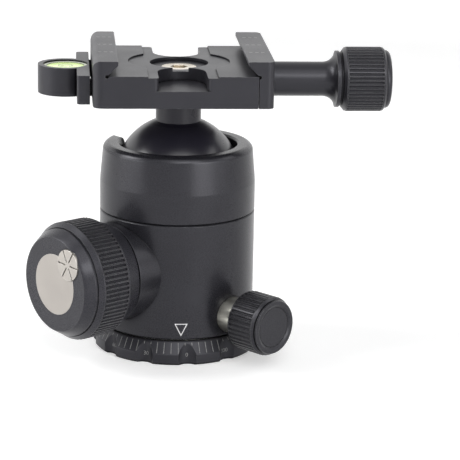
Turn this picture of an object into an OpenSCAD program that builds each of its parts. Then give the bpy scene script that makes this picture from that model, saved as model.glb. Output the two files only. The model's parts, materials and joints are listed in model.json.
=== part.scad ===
// Tripod ball head with a quick-release plate clamp.
// The origin is the centre of the mounting face, +Z runs up the panning axis, and +X runs
// along the clamp's screw, towards its knob.

/* [Ball and housing] */
// Diameter of the ball
ball_d = 32.5; // [28:0.5:38]
// Gap between the ball and the housing's bore
ball_gap = 0.75; // [0.5:0.05:1.5]
// Wall of the housing outside its bore
wall = 3; // [2.6:0.1:5]
// Height of the rim above the ball's centre
rim_rise = 9.4; // [8:0.1:11]
// Depth of the split line below the ball's centre
split_drop = 7.8; // [7.4:0.1:9]
// Height of the tapered band under the rim
taper_h = 7.9; // [5:0.1:8.4]
// How far the rim tapers in on each side
taper_in = 0.7; // [0.2:0.1:1.2]
// Rounding of the rim's shoulder
shoulder_r = 1.7; // [0.5:0.1:2]
// Diameter of the stem on the ball
stem_d = 11.6; // [10:0.1:13]
// Height of the stem's top above the ball's centre
stem_h = 22.5; // [21:0.5:30]
// Clearance on each side of the stem in the drop notch
notch_gap = 0.6; // [0.4:0.1:1.5]
// Rounding of the drop notch's upper edges
notch_round = 2.6; // [0.4:0.1:3]

/* [Panning base] */
// Height of the degree ring
ring_h = 6; // [5:0.5:8]
// How far the ring's foot stands out beyond the housing
ring_flare = 1.5; // [0.5:0.1:3]
// Height of the upright band at the ring's foot
band_h = 2.8; // [1:0.1:3.5]
// Number of finger scallops round the ring
scallops = 12; // [6:1:18]
// Radius of the cutter that makes a scallop
scallop_r = 2.7; // [2:0.1:5]
// Depth of a scallop at the ring's foot
scallop_depth = 1.45; // [0.3:0.05:1.6]
// Radius of the tripod screw's hole
tripod_r = 4.85; // [3.3:0.05:5.2]
// Depth of the tripod screw's hole
tripod_depth = 11; // [7:0.5:12]
// Thickness of the washer that the housing turns on
washer_t = 0.3; // [0.2:0.05:0.6]
// Height of the spigot above the ring
spigot_h = 8.8; // [8.4:0.1:10]
// Thickness of the housing's floor
floor_t = 1.8; // [1.4:0.1:3]
// Thickness of the plate that holds the housing down
keeper_t = 1.2; // [1:0.1:2]

/* [Main lock] */
// Direction of the main knob, in degrees from +X
main_dir = 217; // [200:1:235]
// Height of the main lock's axis above the wedge's floor
lock_rise = 2.4; // [2.2:0.05:2.8]
// Diameter of the main knob over its ribs
main_knob_d = 30; // [26:0.5:32]
// Number of flutes round the main knob
main_flutes = 60; // [36:1:72]
// Distance from the panning axis to the main knob's face
main_reach = 39.7; // [37:0.1:44]
// Diameter of the main knob's face
main_face_d = 24.4; // [22.5:0.1:25]
// Diameter of the disc let into the main knob's face
disc_d = 15.4; // [12:0.1:18]
// Diameter of the drag wheel
drag_d = 7.9; // [6:0.1:9]
// Radius of the boss that carries the main knob
boss_r = 12.5; // [10:0.1:12.6]
// Length of the boss, from the panning axis
boss_reach = 22.3; // [21.8:0.1:23.2]
// Slope of the wedge, in degrees
wedge_slope = 13.5; // [10:0.5:14]
// Width of the wedge
wedge_w = 10; // [8:0.5:14]

/* [Pan lock] */
// Direction of the pan knob, in degrees from +X
pan_dir = 312; // [300:1:325]
// Height of the pan lock's axis above the ring
pan_rise = 5.5; // [5.4:0.1:6.2]
// Diameter of the pan knob
pan_knob_d = 15.2; // [13:0.2:18]
// Number of flutes round the pan knob
pan_flutes = 40; // [24:1:48]
// Distance from the panning axis to the pan knob's face
pan_reach = 35; // [33:0.5:38]
// Length of the pan knob
pan_knob_h = 9.8; // [8:0.2:12]
// Diameter of the steel bushing that the pan screw turns in
bushing_d = 9.4; // [8:0.1:9.8]

/* [Plate clamp] */
// Length of the clamp along the plate's channel
clamp_len = 42.6; // [38:0.5:60]
// Width of the channel's floor with the jaw closed
channel_w = 37.5; // [36:0.1:40]
// Height of the clamp's base
clamp_h = 8; // [7.4:0.1:10]
// Height of the jaws above the channel's floor
jaw_rise = 3.7; // [3:0.1:5]
// Height of the upright tip of a jaw
tip_h = 1; // [0.6:0.1:1.6]
// Thickness of the fixed jaw's wall
fixed_wall = 3.5; // [3:0.1:6]
// Thickness of the moving jaw's wall
moving_wall = 3.75; // [3:0.05:6]
// Gap between the base and the moving jaw when the clamp is closed
jaw_gap = 0.15; // [0.05:0.05:0.5]
// Radius of the upright corners at the fixed jaw
corner_r = 2.6; // [0.5:0.1:3]
// Radius of the upright corners at the moving jaw
jaw_corner_r = 1.7; // [0.5:0.1:3]
// Half the width of the pockets at the channel's two ends
pocket_r = 6.1; // [5:0.1:6.5]
// Depth of the pockets below the channel's floor
pocket_depth = 3.7; // [2:0.1:4]
// Height of the clamp screw's axis above the clamp's underside
screw_rise = 3.45; // [3.3:0.05:4]
// Radius of the clamp screw
clamp_screw_r = 2.5; // [2:0.1:2.6]
// Distance of the guide pins from the clamp screw
pin_spread = 13.5; // [12:0.5:16]

/* [Clamp knob] */
// Diameter of the clamp knob over its ribs
clamp_knob_d = 16.5; // [14:0.1:20]
// Number of flutes round the clamp knob
clamp_flutes = 48; // [30:1:60]
// Length of the fluted grip
grip_h = 11; // [8:0.5:16]
// Diameter of the knob's neck
neck_d = 8.8; // [8:0.1:9]
// Length of the neck, up to its flare
neck_h = 13.9; // [8:0.1:20]

/* [Bubble level] */
// Outer diameter of the level's housing
level_d = 14; // [13:0.1:16]
// Diameter of the vial
vial_d = 11.3; // [9:0.1:11.8]
// Height of the level's block
level_h = 7.2; // [6:0.1:8]
// Length of the bar that carries the level
bar_len = 32.6; // [28:0.2:36]
// Thickness of the bar
bar_t = 3.2; // [2.8:0.1:5]
// Gap between the bar and the fixed jaw
bar_gap = 0.6; // [0.3:0.1:2]

/* [Hidden] */

$fn = 96;
eps = 0.02;
fit = 0.05;        // radial clearance of a shaft in its bore
turn_gap = 0.2;    // gap between faces that turn on each other
seat_gap = 0.1;    // gap between faces that press on each other when the head is locked
over = 5;          // how far a cutter runs past the face that it opens

// Heights, from the mounting face up
ball_r = ball_d / 2;
stem_r = stem_d / 2;
bore_r = ball_r + ball_gap;
housing_r = bore_r + wall;
housing_z = ring_h + washer_t;
spigot_z = ring_h + spigot_h;
floor_z = spigot_z + turn_gap;
keeper_z = floor_z + floor_t + turn_gap;
guide_z = keeper_z + keeper_t + 0.7;
guide_t = 1.2;
wedge_z = guide_z + guide_t;
lock_z = wedge_z + lock_rise;
plate_gap = 0.5;
plate_z = wedge_z + plate_gap;
plate_top = lock_z + 3.5;
disc_spring_h = 0.6;
cup_z = plate_top + disc_spring_h;
cup_floor = 1.25;
ball_z = cup_z + cup_floor + ball_r;
split_z = ball_z - split_drop;
rim_z = ball_z + rim_rise;
clamp_z = ball_z + stem_h;
pan_z = ring_h + pan_rise;

// Panning base
spigot_wall = 5.5;
spigot_r = housing_r - spigot_wall;
spigot_fit = 0.1;
journal_r = 10;
keeper_r = spigot_r - 1;
keeper_pcd = 14.4;
keeper_screw_r = 1.25;
keeper_head_r = 2.25;
keeper_thread = 6;
keeper_bore_r = spigot_r + 0.7;
groove_depth = 1.3;
groove_half = 1.5;
scallop_start = 275;

// Housing and collar
skirt_h = 6;
skirt_t = 1.1;
split_bevel = 0.35;
rim_lip_r = ball_r - 1.05;
rim_t = 2.6;
rim_bore_r = bore_r;
liner_gap = 0.12;
liner_h = 5;
notch_dir = main_dir - 90;
notch_half = stem_r + notch_gap;

// Main lock
shaft_r = 4;
tip_r = 1.9;
main_bush_r = 5.6;
wedge_end = 12.4;
wedge_start = -3;
wedge_low = wedge_z + 4.5;
knob_back = boss_reach + 0.4;
knob_rim = main_knob_d / 2;
flute_start = main_reach - 11.9;
flute_end = main_reach - 4.7;
shaft_inset = 4.4;
disc_t = 0.8;
drag_r = drag_d / 2;
drag_offset = main_face_d / 2 - drag_r + 0.05;
drag_turn = 48;
drag_t = 2.6;
drag_pin_r = 1.2;
drag_pin_len = 3;
knob_screw_r = 2;
knob_screw_len = 6;
knob_head_r = 3.5;
knob_head_h = 2;
knob_screw_seat = main_reach - disc_t - knob_head_h - turn_gap;
shaft_end = main_reach - shaft_inset;

// Pan lock
pan_screw_r = 2.5;
pad_r = pan_screw_r - 0.1;
bushing_in = spigot_r + 0.9;
bushing_out = pan_reach - pan_knob_h + 1;
pad_tip = spigot_r - groove_depth + seat_gap + 0.15;
pad_end = bushing_in + 2.4;
pan_screw_inset = 2;
pan_knob_recess = 2.6;
pan_grip_short = 2.6;
cap_r = pan_knob_d / 2 - 2.4;
cap_sink = 0.3;
cap_t = 0.8;

// Plate clamp
channel_z = clamp_z + clamp_h;
jaw_z = channel_z + jaw_rise;
half_w = channel_w / 2;
base_end = half_w - jaw_gap;
overhang = jaw_rise - tip_h;
screw_z = clamp_z + screw_rise;
relief = 0.4;
dish_r = 13;
lane_half = 8.7;
mouth_r = 1;
screw_dish_r = 7.5;
screw_dish = 1;
dish_z = channel_z - relief - screw_dish;
head_r = 4.46;
head_rim = 0.4;
stem_screw_r = 3;
stem_screw_end = 10;
head_z = dish_z - head_rim - head_r + stem_screw_r;
bore_end = screw_dish_r + 0.4;
pin_r = 1.5;
pin_len = 9;
spring_r = 2.1;
spring_wire = 0.3;
spring_pocket = 4;
washer_thick = 0.4;
knob_x = half_w + moving_wall + washer_thick;
flare_h = 3.3;
collar_r = 7.25;
collar_h = 1;
cap_h = 1.9;

// Level
level_x = -(half_w + fixed_wall + bar_gap);
level_lap = 4.2;
level_off = bar_t + level_d / 2 - level_lap;
vial_sink = 0.5;
level_screw_y = bar_len / 2 - 3.8;

black = [0.07, 0.07, 0.075];
black_edge = [0.1, 0.1, 0.105];
steel = [0.72, 0.71, 0.68];
brass = [0.72, 0.6, 0.32];
white_plastic = [0.9, 0.9, 0.88];

// ---------- Helpers ----------

// Cuts a rounding of radius r from the outer corner at the origin of a profile to the lower left
module corner_cut(r) {
    difference() {
        translate([-r, -r]) square(r + 1);
        translate([-r, -r]) circle(r);
    }
}

// Cuts a 45 degree bevel of width w from the same corner
module bevel_cut(w) {
    polygon([[-w, 1], [-w, 0], [0, -w], [1, -w], [1, 1]]);
}

// Places its children on an axis that points outwards from the panning axis; X points down
module outwards(dir, z) {
    rotate([0, 0, dir]) translate([0, 0, z]) rotate([0, 90, 0]) children();
}

// Places its children on the clamp screw's axis, with their Z along +X
module along_clamp_screw(y = 0) {
    translate([0, y, screw_z]) rotate([0, 90, 0]) children();
}

module tube(r_out, r_in, h) {
    difference() {
        cylinder(r = r_out, h = h);
        translate([0, 0, -1]) cylinder(r = r_in, h = h + 2);
    }
}

// A grip with straight flutes that end blind at both ends
module fluted_grip(r, count, h) {
    pitch = 2 * PI * r / count;
    flute_r = pitch * 0.34;
    linear_extrude(height = h) difference() {
        circle(r);
        for (i = [0 : count - 1])
            rotate((i + 0.5) * 360 / count) translate([r + flute_r * 0.12, 0]) circle(flute_r, $fn = 24);
    }
}

// A cap screw's or countersunk screw's hexagon socket
module hex_socket(across, depth) {
    cylinder(r = across / sqrt(3), h = depth + 1, $fn = 6);
}

// ---------- Panning base ----------

module ring_profile() {
    polygon([[0, 0], [housing_r + ring_flare - 0.5, 0], [housing_r + ring_flare, 0.5],
             [housing_r + ring_flare, band_h], [housing_r - 0.1, ring_h - 0.3],
             [housing_r - 0.4, ring_h], [0, ring_h]]);
}

module spigot_profile() {
    polygon([[0, ring_h - 1], [spigot_r, ring_h - 1], [spigot_r, pan_z - groove_half],
             [spigot_r - groove_depth, pan_z - 0.3], [spigot_r - groove_depth, pan_z + 0.3],
             [spigot_r, pan_z + groove_half], [spigot_r, spigot_z - 0.3], [spigot_r - 0.3, spigot_z],
             [journal_r, spigot_z], [journal_r, keeper_z], [0, keeper_z]]);
}

module pan_base() {
    scallop_center = housing_r + ring_flare + scallop_r - scallop_depth;
    color(black) difference() {
        rotate_extrude() union() {
            ring_profile();
            spigot_profile();
        }
        translate([0, 0, -1]) cylinder(r = tripod_r, h = tripod_depth + 1);
        for (i = [0 : scallops - 1])
            rotate([0, 0, scallop_start + i * 360 / scallops]) translate([scallop_center, 0, -1])
                cylinder(r = scallop_r, h = ring_h + 2);
        keeper_places() translate([0, 0, 1 - keeper_thread]) cylinder(r = keeper_screw_r, h = keeper_thread);
    }
}

// The three places of the keeper plate's screws, at the plate's underside
module keeper_places() {
    for (a = [0, 120, 240])
        rotate([0, 0, a]) translate([keeper_pcd / 2, 0, keeper_z]) children();
}

module keeper_plate() {
    color(steel) difference() {
        translate([0, 0, keeper_z]) cylinder(r = keeper_r, h = keeper_t);
        keeper_places() {
            translate([0, 0, -1]) cylinder(r = keeper_screw_r, h = keeper_t + 2);
            translate([0, 0, keeper_t - 1]) cylinder(r1 = keeper_screw_r, r2 = keeper_head_r + eps, h = 1 + eps);
        }
    }
}

module keeper_screws() {
    color(steel) keeper_places() difference() {
        union() {
            translate([0, 0, -4.8]) cylinder(r = keeper_screw_r, h = keeper_t + 4.8 - 0.5);
            translate([0, 0, keeper_t - 1]) cylinder(r1 = keeper_screw_r, r2 = keeper_head_r, h = 1);
        }
        translate([0, 0, keeper_t - 0.7]) hex_socket(1.5, 0.7);
    }
}

module pan_washer() {
    color(white_plastic) translate([0, 0, ring_h]) tube(housing_r - 1.2, spigot_r + 0.4, washer_t);
}

// ---------- Housing ----------

module housing_profile() {
    difference() {
        polygon([[spigot_r + spigot_fit, housing_z], [housing_r, housing_z], [housing_r, split_z],
                 [bore_r + skirt_t + fit, split_z],
                 [bore_r + skirt_t + fit, split_z - skirt_h - turn_gap],
                 [bore_r, split_z - skirt_h - turn_gap], [bore_r, guide_z], [keeper_bore_r, guide_z],
                 [keeper_bore_r, floor_z + floor_t], [journal_r + spigot_fit, floor_z + floor_t],
                 [journal_r + spigot_fit, floor_z], [spigot_r + spigot_fit, floor_z]]);
        translate([housing_r, split_z]) bevel_cut(split_bevel);
        translate([housing_r, housing_z]) mirror([0, 1]) bevel_cut(0.4);
    }
}

// The main knob's boss runs straight out of the wall
module boss_profile() {
    root = bore_r - wall;
    difference() {
        translate([0, root]) square([boss_r, boss_reach - root]);
        translate([boss_r, boss_reach]) corner_cut(0.3);
    }
}

module housing() {
    color(black) difference() {
        union() {
            rotate_extrude() housing_profile();
            difference() {
                outwards(main_dir, lock_z) rotate_extrude() boss_profile();
                cylinder(r = housing_r - wall / 2, h = rim_z);
            }
        }
        outwards(main_dir, lock_z) translate([0, 0, bore_r - 2])
            cylinder(r = main_bush_r, h = boss_reach);
        outwards(pan_dir, pan_z) translate([0, 0, spigot_r - 1])
            cylinder(r = bushing_d / 2, h = housing_r);
    }
}

// The cut for the stem when the ball is dropped on its side
module drop_notch(half) {
    rotate([0, 0, notch_dir]) translate([0, 0, ball_z]) rotate([0, 90, 0]) {
        cylinder(r = half, h = housing_r + over);
        translate([-rim_rise - over, -half, 0]) cube([rim_rise + over, 2 * half, housing_r + over]);
    }
}

module collar_profile() {
    top_r = housing_r - taper_in;
    difference() {
        polygon([[bore_r, split_z - skirt_h], [bore_r + skirt_t, split_z - skirt_h],
                 [bore_r + skirt_t, split_z], [housing_r, split_z],
                 [housing_r, rim_z - shoulder_r - taper_h], [top_r, rim_z - shoulder_r],
                 [top_r, rim_z], [rim_lip_r, rim_z], [rim_lip_r, rim_z - rim_t],
                 [rim_bore_r, rim_z - rim_t]]);
        translate([top_r, rim_z]) corner_cut(shoulder_r);
        translate([rim_lip_r, rim_z]) mirror([1, 0]) corner_cut(0.6);
        translate([housing_r, split_z]) mirror([0, 1]) bevel_cut(split_bevel);
    }
}

// Rounds the edges between the notch's walls and the rim's top
module notch_edges() {
    rotate([0, 0, notch_dir]) translate([0, 0, rim_z]) rotate([90, 0, 90])
        linear_extrude(height = housing_r + over)
            for (s = [-1, 1])
                translate([s * notch_half, 0]) mirror([s > 0 ? 1 : 0, 0]) corner_cut(notch_round);
}

module collar() {
    color(black) difference() {
        rotate_extrude() collar_profile();
        drop_notch(notch_half);
        notch_edges();
    }
}

// Plastic seat that bears on the ball above its equator
module ball_liner() {
    liner_top = rim_z - rim_t;
    color([0.12, 0.12, 0.12]) difference() {
        translate([0, 0, liner_top - liner_h]) cylinder(r = rim_bore_r, h = liner_h);
        translate([0, 0, ball_z]) sphere(r = ball_r + liner_gap, $fn = 128);
        drop_notch(notch_half);
    }
}

module guide_plate() {
    color(steel) translate([0, 0, guide_z]) cylinder(r = bore_r, h = guide_t);
}

module main_bushing() {
    color(brass) outwards(main_dir, lock_z) difference() {
        translate([0, 0, bore_r + 0.2]) cylinder(r = main_bush_r, h = boss_reach - bore_r - 0.4);
        translate([0, 0, bore_r - 1]) cylinder(r = shaft_r + fit, h = boss_reach);
    }
}

module pan_bushing() {
    color(steel) outwards(pan_dir, pan_z) difference() {
        translate([0, 0, bushing_in]) cylinder(r = bushing_d / 2, h = bushing_out - bushing_in);
        translate([0, 0, bushing_in - 1]) cylinder(r = pan_screw_r + fit, h = bushing_out);
    }
}

// ---------- Wedge and cup under the ball ----------

// Height of the wedge's sloped face at a distance from the panning axis
function slope_z(d) = wedge_low - (wedge_end - d) * tan(wedge_slope);

module wedge_profile(gap, start, end) {
    polygon([[start, wedge_z - (gap > 0 ? 1 : 0)], [end, wedge_z - (gap > 0 ? 1 : 0)],
             [end, slope_z(end) + gap], [start, slope_z(start) + gap]]);
}

// Extrudes a profile drawn in the lock's upright plane to a width across it
module across_lock(width) {
    rotate([0, 0, main_dir]) translate([0, width / 2, 0]) rotate([90, 0, 0])
        linear_extrude(height = width) children();
}

module wedge() {
    color(brass) across_lock(wedge_w) wedge_profile(0, wedge_start, wedge_end);
}

module pressure_plate() {
    channel = wedge_w + 2 * turn_gap;
    color(steel) difference() {
        translate([0, 0, plate_z]) cylinder(r = bore_r - turn_gap, h = plate_top - plate_z);
        across_lock(channel) wedge_profile(seat_gap, -bore_r - 2, wedge_end + 0.2);
        across_lock(channel) translate([wedge_end, plate_z - 1])
            square([bore_r, lock_z + tip_r + 0.7 - plate_z + 1]);
    }
}

module disc_spring() {
    inner = ball_r * 0.4;
    outer = ball_r * 0.8;
    color(steel) translate([0, 0, plate_top]) rotate_extrude()
        polygon([[inner, disc_spring_h - 0.35], [inner, disc_spring_h], [outer, 0.35], [outer, 0]]);
}

module lower_cup() {
    cup_h = ball_r * 0.42;
    color(white_plastic) difference() {
        translate([0, 0, cup_z]) cylinder(r = bore_r - turn_gap, h = cup_h);
        translate([0, 0, ball_z]) sphere(r = ball_r + liner_gap, $fn = 128);
        translate([0, 0, cup_z - 1]) cylinder(r = ball_r * 0.3, h = cup_h);
    }
}

// ---------- Main lock knob ----------

module main_shaft() {
    color(steel) outwards(main_dir, lock_z) difference() {
        union() {
            translate([0, 0, wedge_end + 0.05]) cylinder(r = tip_r, h = bore_r + 1 - wedge_end);
            translate([0, 0, bore_r + 0.3]) cylinder(r = shaft_r, h = shaft_end - bore_r - 0.3);
        }
        translate([0, 0, shaft_end - knob_screw_len - 1])
            cylinder(r = knob_screw_r, h = knob_screw_len + over);
    }
}

module main_knob_profile() {
    face_r = main_face_d / 2;
    ring_r = face_r + 1.45;
    polygon([[0, knob_back], [boss_r + 0.1, knob_back], [boss_r + 0.4, knob_back + 0.3],
             [knob_rim - 0.8, flute_start - 0.9], [knob_rim - 0.2, flute_start - 0.4],
             [knob_rim - 0.2, flute_start], [knob_rim - 0.75, flute_start],
             [knob_rim - 0.75, flute_end],
             [knob_rim - 0.1, flute_end], [knob_rim - 0.1, flute_end + 0.3],
             [ring_r + 0.25, flute_end + 1.5], [ring_r, flute_end + 1.5], [ring_r, flute_end + 2.2],
             [face_r + 0.15, main_reach - 0.35], [face_r - 0.2, main_reach], [0, main_reach]]);
}

// The drag wheel's axis in the knob's face; its offset is turned from the level direction
module drag_place() {
    rotate([0, 0, 90 + drag_turn]) translate([drag_offset, 0, 0]) children();
}

module main_knob() {
    color(black) outwards(main_dir, lock_z) difference() {
        union() {
            rotate_extrude() main_knob_profile();
            translate([0, 0, flute_start])
                fluted_grip(knob_rim, main_flutes, flute_end - flute_start);
        }
        translate([0, 0, knob_back - 1]) cylinder(r = shaft_r, h = shaft_end - knob_back + 1);
        translate([0, 0, shaft_end - eps]) cylinder(r = knob_screw_r + 0.1, h = over);
        translate([0, 0, knob_screw_seat]) cylinder(r = knob_head_r + 0.3, h = over);
        translate([0, 0, main_reach - disc_t]) cylinder(r = disc_d / 2, h = over);
        drag_place() {
            translate([0, 0, main_reach - drag_t]) cylinder(r = drag_r + 0.1, h = over);
            translate([0, 0, main_reach - drag_t - drag_pin_len])
                cylinder(r = drag_pin_r + 0.1, h = over);
        }
    }
}

module knob_disc() {
    color(steel) outwards(main_dir, lock_z) difference() {
        translate([0, 0, main_reach - disc_t]) cylinder(r = disc_d / 2, h = disc_t + 0.05);
        drag_place() translate([0, 0, main_reach - drag_t]) cylinder(r = drag_r + 0.1, h = over);
    }
}

module knob_screw() {
    start = shaft_end - knob_screw_len;
    color(steel) outwards(main_dir, lock_z) difference() {
        union() {
            translate([0, 0, start]) cylinder(r = knob_screw_r, h = knob_screw_seat - start + eps);
            translate([0, 0, knob_screw_seat]) cylinder(r = knob_head_r, h = knob_head_h);
        }
        translate([0, 0, knob_screw_seat + 0.6]) hex_socket(3, 2);
    }
}

// Slotted wheel that sets the least friction on the ball
module drag_wheel() {
    slots = 6;
    pocket = main_reach - drag_t;
    top = main_reach + 0.25;
    color(steel) outwards(main_dir, lock_z) drag_place() difference() {
        union() {
            translate([0, 0, pocket + 0.1]) cylinder(r = drag_r, h = top - pocket - 0.1);
            translate([0, 0, pocket - drag_pin_len + turn_gap])
                cylinder(r = drag_pin_r, h = drag_pin_len);
        }
        for (i = [0 : slots - 1])
            rotate([0, 0, i * 360 / slots + 10]) translate([drag_r * 0.2, -0.2, top - 0.6])
                cube([drag_r, 0.4, 1]);
    }
}

// ---------- Pan lock ----------

// Pad that bears in the V groove of the spigot
module pan_lock_pad() {
    color(brass) outwards(pan_dir, pan_z) union() {
        translate([0, 0, pad_tip]) cylinder(r1 = 0.3, r2 = 1.3, h = spigot_r + 0.2 - pad_tip);
        translate([0, 0, spigot_r + 0.2]) cylinder(r = 1.3, h = bushing_in - spigot_r);
        translate([0, 0, bushing_in + 0.2]) cylinder(r = pad_r, h = pad_end - bushing_in - 0.2);
    }
}

module pan_screw() {
    color(steel) outwards(pan_dir, pan_z) translate([0, 0, pad_end])
        cylinder(r = pan_screw_r, h = pan_reach - pan_screw_inset - pad_end);
}

module pan_knob() {
    r = pan_knob_d / 2;
    back = pan_reach - pan_knob_h;
    color(black) outwards(pan_dir, pan_z) difference() {
        union() {
            rotate_extrude() polygon([[0, back], [r - 0.7, back], [r - 0.15, back + 0.5],
                [r - 0.15, back + 0.9], [r - 0.5, back + 0.9], [r - 0.5, pan_reach - 1.7],
                [r - 0.1, pan_reach - 1.7], [r - 0.1, pan_reach - 1.4], [r - 0.7, pan_reach - 0.9],
                [r - 0.95, pan_reach - 0.9], [r - 0.95, pan_reach - 0.6],
                [r - 0.65, pan_reach - 0.35], [r - 0.8, pan_reach], [0, pan_reach]]);
            translate([0, 0, back + 0.9]) fluted_grip(r, pan_flutes, pan_knob_h - pan_grip_short);
        }
        translate([0, 0, back - 1]) cylinder(r = pan_screw_r, h = pan_knob_h - 1);
        translate([0, 0, back - 1]) cylinder(r = bushing_d / 2 + turn_gap, h = 1 + pan_knob_recess);
        translate([0, 0, pan_reach - cap_sink - cap_t]) cylinder(r = cap_r, h = over);
        translate([0, 0, pan_reach - cap_sink])
            cylinder(r1 = cap_r, r2 = cap_r + 0.7, h = cap_sink + eps);
    }
}

module pan_knob_cap() {
    color(black_edge) outwards(pan_dir, pan_z) translate([0, 0, pan_reach - cap_sink - cap_t])
        rotate_extrude() difference() {
            square([cap_r, cap_t]);
            translate([cap_r, cap_t]) bevel_cut(0.15);
        }
}

// ---------- Ball ----------

module ball_stem() {
    color([0.03, 0.03, 0.035]) difference() {
        union() {
            translate([0, 0, ball_z]) sphere(r = ball_r, $fn = 128);
            translate([0, 0, ball_z]) cylinder(r = stem_r, h = stem_h);
        }
        translate([0, 0, clamp_z - stem_screw_end - 1])
            cylinder(r = stem_screw_r + fit, h = stem_screw_end + 2);
    }
}

// ---------- Plate clamp ----------

// Rectangle from x0 to x1 whose corners on the chosen side are rounded
module end_rounded(x0, x1, side, r) {
    edge = side > 0 ? x1 : x0;
    difference() {
        translate([x0, -clamp_len / 2]) square([x1 - x0, clamp_len]);
        for (s = [-1, 1])
            translate([edge, s * clamp_len / 2]) mirror([side > 0 ? 0 : 1, 0]) mirror([0, s > 0 ? 0 : 1])
                corner_cut(r);
    }
}

// Extrudes a profile drawn in X and Z along the clamp's channel
module along_channel(len = clamp_len) {
    translate([0, len / 2, 0]) rotate([90, 0, 0]) linear_extrude(height = len) children();
}

// Dovetail side of a jaw, drawn for the right-hand jaw
module jaw_section(wall_t) {
    outer = half_w + wall_t;
    difference() {
        polygon([[half_w, clamp_z], [outer, clamp_z], [outer, jaw_z],
                 [half_w - overhang, jaw_z], [half_w - overhang, jaw_z - tip_h], [half_w, channel_z]]);
        translate([half_w - overhang, jaw_z]) mirror([1, 0]) bevel_cut(0.2);
        translate([half_w + 0.05, channel_z - 0.1]) circle(0.45);
    }
}

module fixed_section() {
    difference() {
        union() {
            mirror([1, 0]) jaw_section(fixed_wall);
            translate([-half_w - 1, clamp_z]) square([base_end + half_w + 1, clamp_h]);
        }
        translate([-half_w - fixed_wall, jaw_z]) mirror([1, 0]) corner_cut(2);
        translate([-half_w - 0.05, channel_z - 0.1]) circle(0.45);
        for (x = [-half_w - fixed_wall, base_end])
            translate([x, clamp_z]) mirror([x < 0 ? 1 : 0, 0]) mirror([0, 1]) bevel_cut(0.25);
    }
}

// U-shaped pocket that comes in from one end of the channel, with rounded edges at its mouth
module end_pocket(side, stop_y) {
    center_y = stop_y + pocket_r;
    mouth_y = clamp_len / 2 - mouth_r;
    mirror([0, side > 0 ? 0 : 1, 0])
        translate([0, 0, channel_z - pocket_depth]) linear_extrude(height = pocket_depth + over) {
            translate([0, center_y]) circle(pocket_r);
            translate([-pocket_r, center_y]) square([2 * pocket_r, clamp_len]);
            difference() {
                translate([-pocket_r - mouth_r, mouth_y]) square([2 * (pocket_r + mouth_r), 2 * mouth_r]);
                for (s = [-1, 1]) translate([s * (pocket_r + mouth_r), mouth_y]) circle(mouth_r);
            }
        }
}

module clamp_base() {
    lane_z = channel_z - relief;
    color(black) difference() {
        intersection() {
            along_channel() fixed_section();
            translate([0, 0, clamp_z - over]) linear_extrude(height = clamp_h + jaw_rise + 2 * over)
                end_rounded(-half_w - fixed_wall, base_end, -1, corner_r);
        }
        translate([0, 0, lane_z]) cylinder(r = dish_r, h = over);
        translate([-lane_half, -clamp_len / 2 - 1, lane_z]) cube([2 * lane_half, clamp_len + 2, over]);
        translate([0, 0, dish_z]) cylinder(r = screw_dish_r, h = over);
        end_pocket(1, screw_dish_r + 0.4);
        end_pocket(-1, screw_dish_r - 0.6);
        center_screw_cut();
        translate([base_end - spring_pocket, 0, 0]) for (s = [-1, 1]) along_clamp_screw(s * pin_spread)
            cylinder(r = spring_r + 2 * spring_wire, h = spring_pocket + 1);
        for (s = [-1, 1]) translate([half_w - pin_len - 0.4, 0, 0])
            along_clamp_screw(s * pin_spread) cylinder(r = pin_r + fit, h = pin_len + 1);
        translate([bore_end, 0, 0]) along_clamp_screw() cylinder(r = clamp_screw_r + fit, h = half_w);
        level_screw_places() translate([0, 0, -1]) cylinder(r = 1, h = 4);
    }
}

// Hole for the countersunk screw, up through the floor
module center_screw_cut() {
    translate([0, 0, clamp_z - 1]) cylinder(r = stem_screw_r, h = clamp_h);
    translate([0, 0, head_z]) cylinder(r1 = stem_screw_r, r2 = head_r, h = head_r - stem_screw_r);
    translate([0, 0, head_z + head_r - stem_screw_r - eps]) cylinder(r = head_r, h = head_rim + over);
}

module center_screw() {
    color(steel) difference() {
        union() {
            translate([0, 0, clamp_z - stem_screw_end])
                cylinder(r = stem_screw_r, h = head_z - clamp_z + stem_screw_end);
            translate([0, 0, head_z]) cylinder(r1 = stem_screw_r, r2 = head_r, h = head_r - stem_screw_r);
            translate([0, 0, head_z + head_r - stem_screw_r]) cylinder(r = head_r, h = head_rim - 0.05);
        }
        translate([0, 0, dish_z - 2.4]) hex_socket(4, 3);
    }
}

module moving_jaw() {
    color(black) difference() {
        intersection() {
            along_channel() jaw_section(moving_wall);
            translate([0, 0, clamp_z - over]) linear_extrude(height = clamp_h + jaw_rise + 2 * over)
                end_rounded(half_w - overhang - 1, half_w + moving_wall, 1, jaw_corner_r);
        }
        along_clamp_screw() cylinder(r = clamp_screw_r + fit, h = half_w + moving_wall + over);
        for (s = [-1, 1]) along_clamp_screw(s * pin_spread)
            cylinder(r = pin_r, h = half_w + moving_wall - 1);
    }
}

// Steel pins pressed into the moving jaw; they slide in the base
module guide_pins() {
    color(steel) for (s = [-1, 1]) translate([half_w - pin_len, 0, 0])
        along_clamp_screw(s * pin_spread) cylinder(r = pin_r, h = pin_len + moving_wall - 1);
}

// A coil spring along Z, swept as one closed tube
module coil_spring(r, wire, h, turns) {
    sides = 6;
    steps = turns * 14;
    points = [for (i = [0 : steps])
        let (a = i * 360 * turns / steps, z = wire + (h - 2 * wire) * i / steps)
        for (j = [0 : sides - 1]) let (b = j * 360 / sides, q = r + wire * cos(b))
            [q * cos(a), q * sin(a), z + wire * sin(b)]];
    walls = [for (i = [0 : steps - 1]) for (j = [0 : sides - 1]) let (k = (j + 1) % sides)
        [i * sides + j, (i + 1) * sides + j, (i + 1) * sides + k, i * sides + k]];
    polyhedron(points, concat([[for (j = [0 : sides - 1]) j]], walls,
        [[for (j = [sides - 1 : -1 : 0]) steps * sides + j]]));
}

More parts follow.
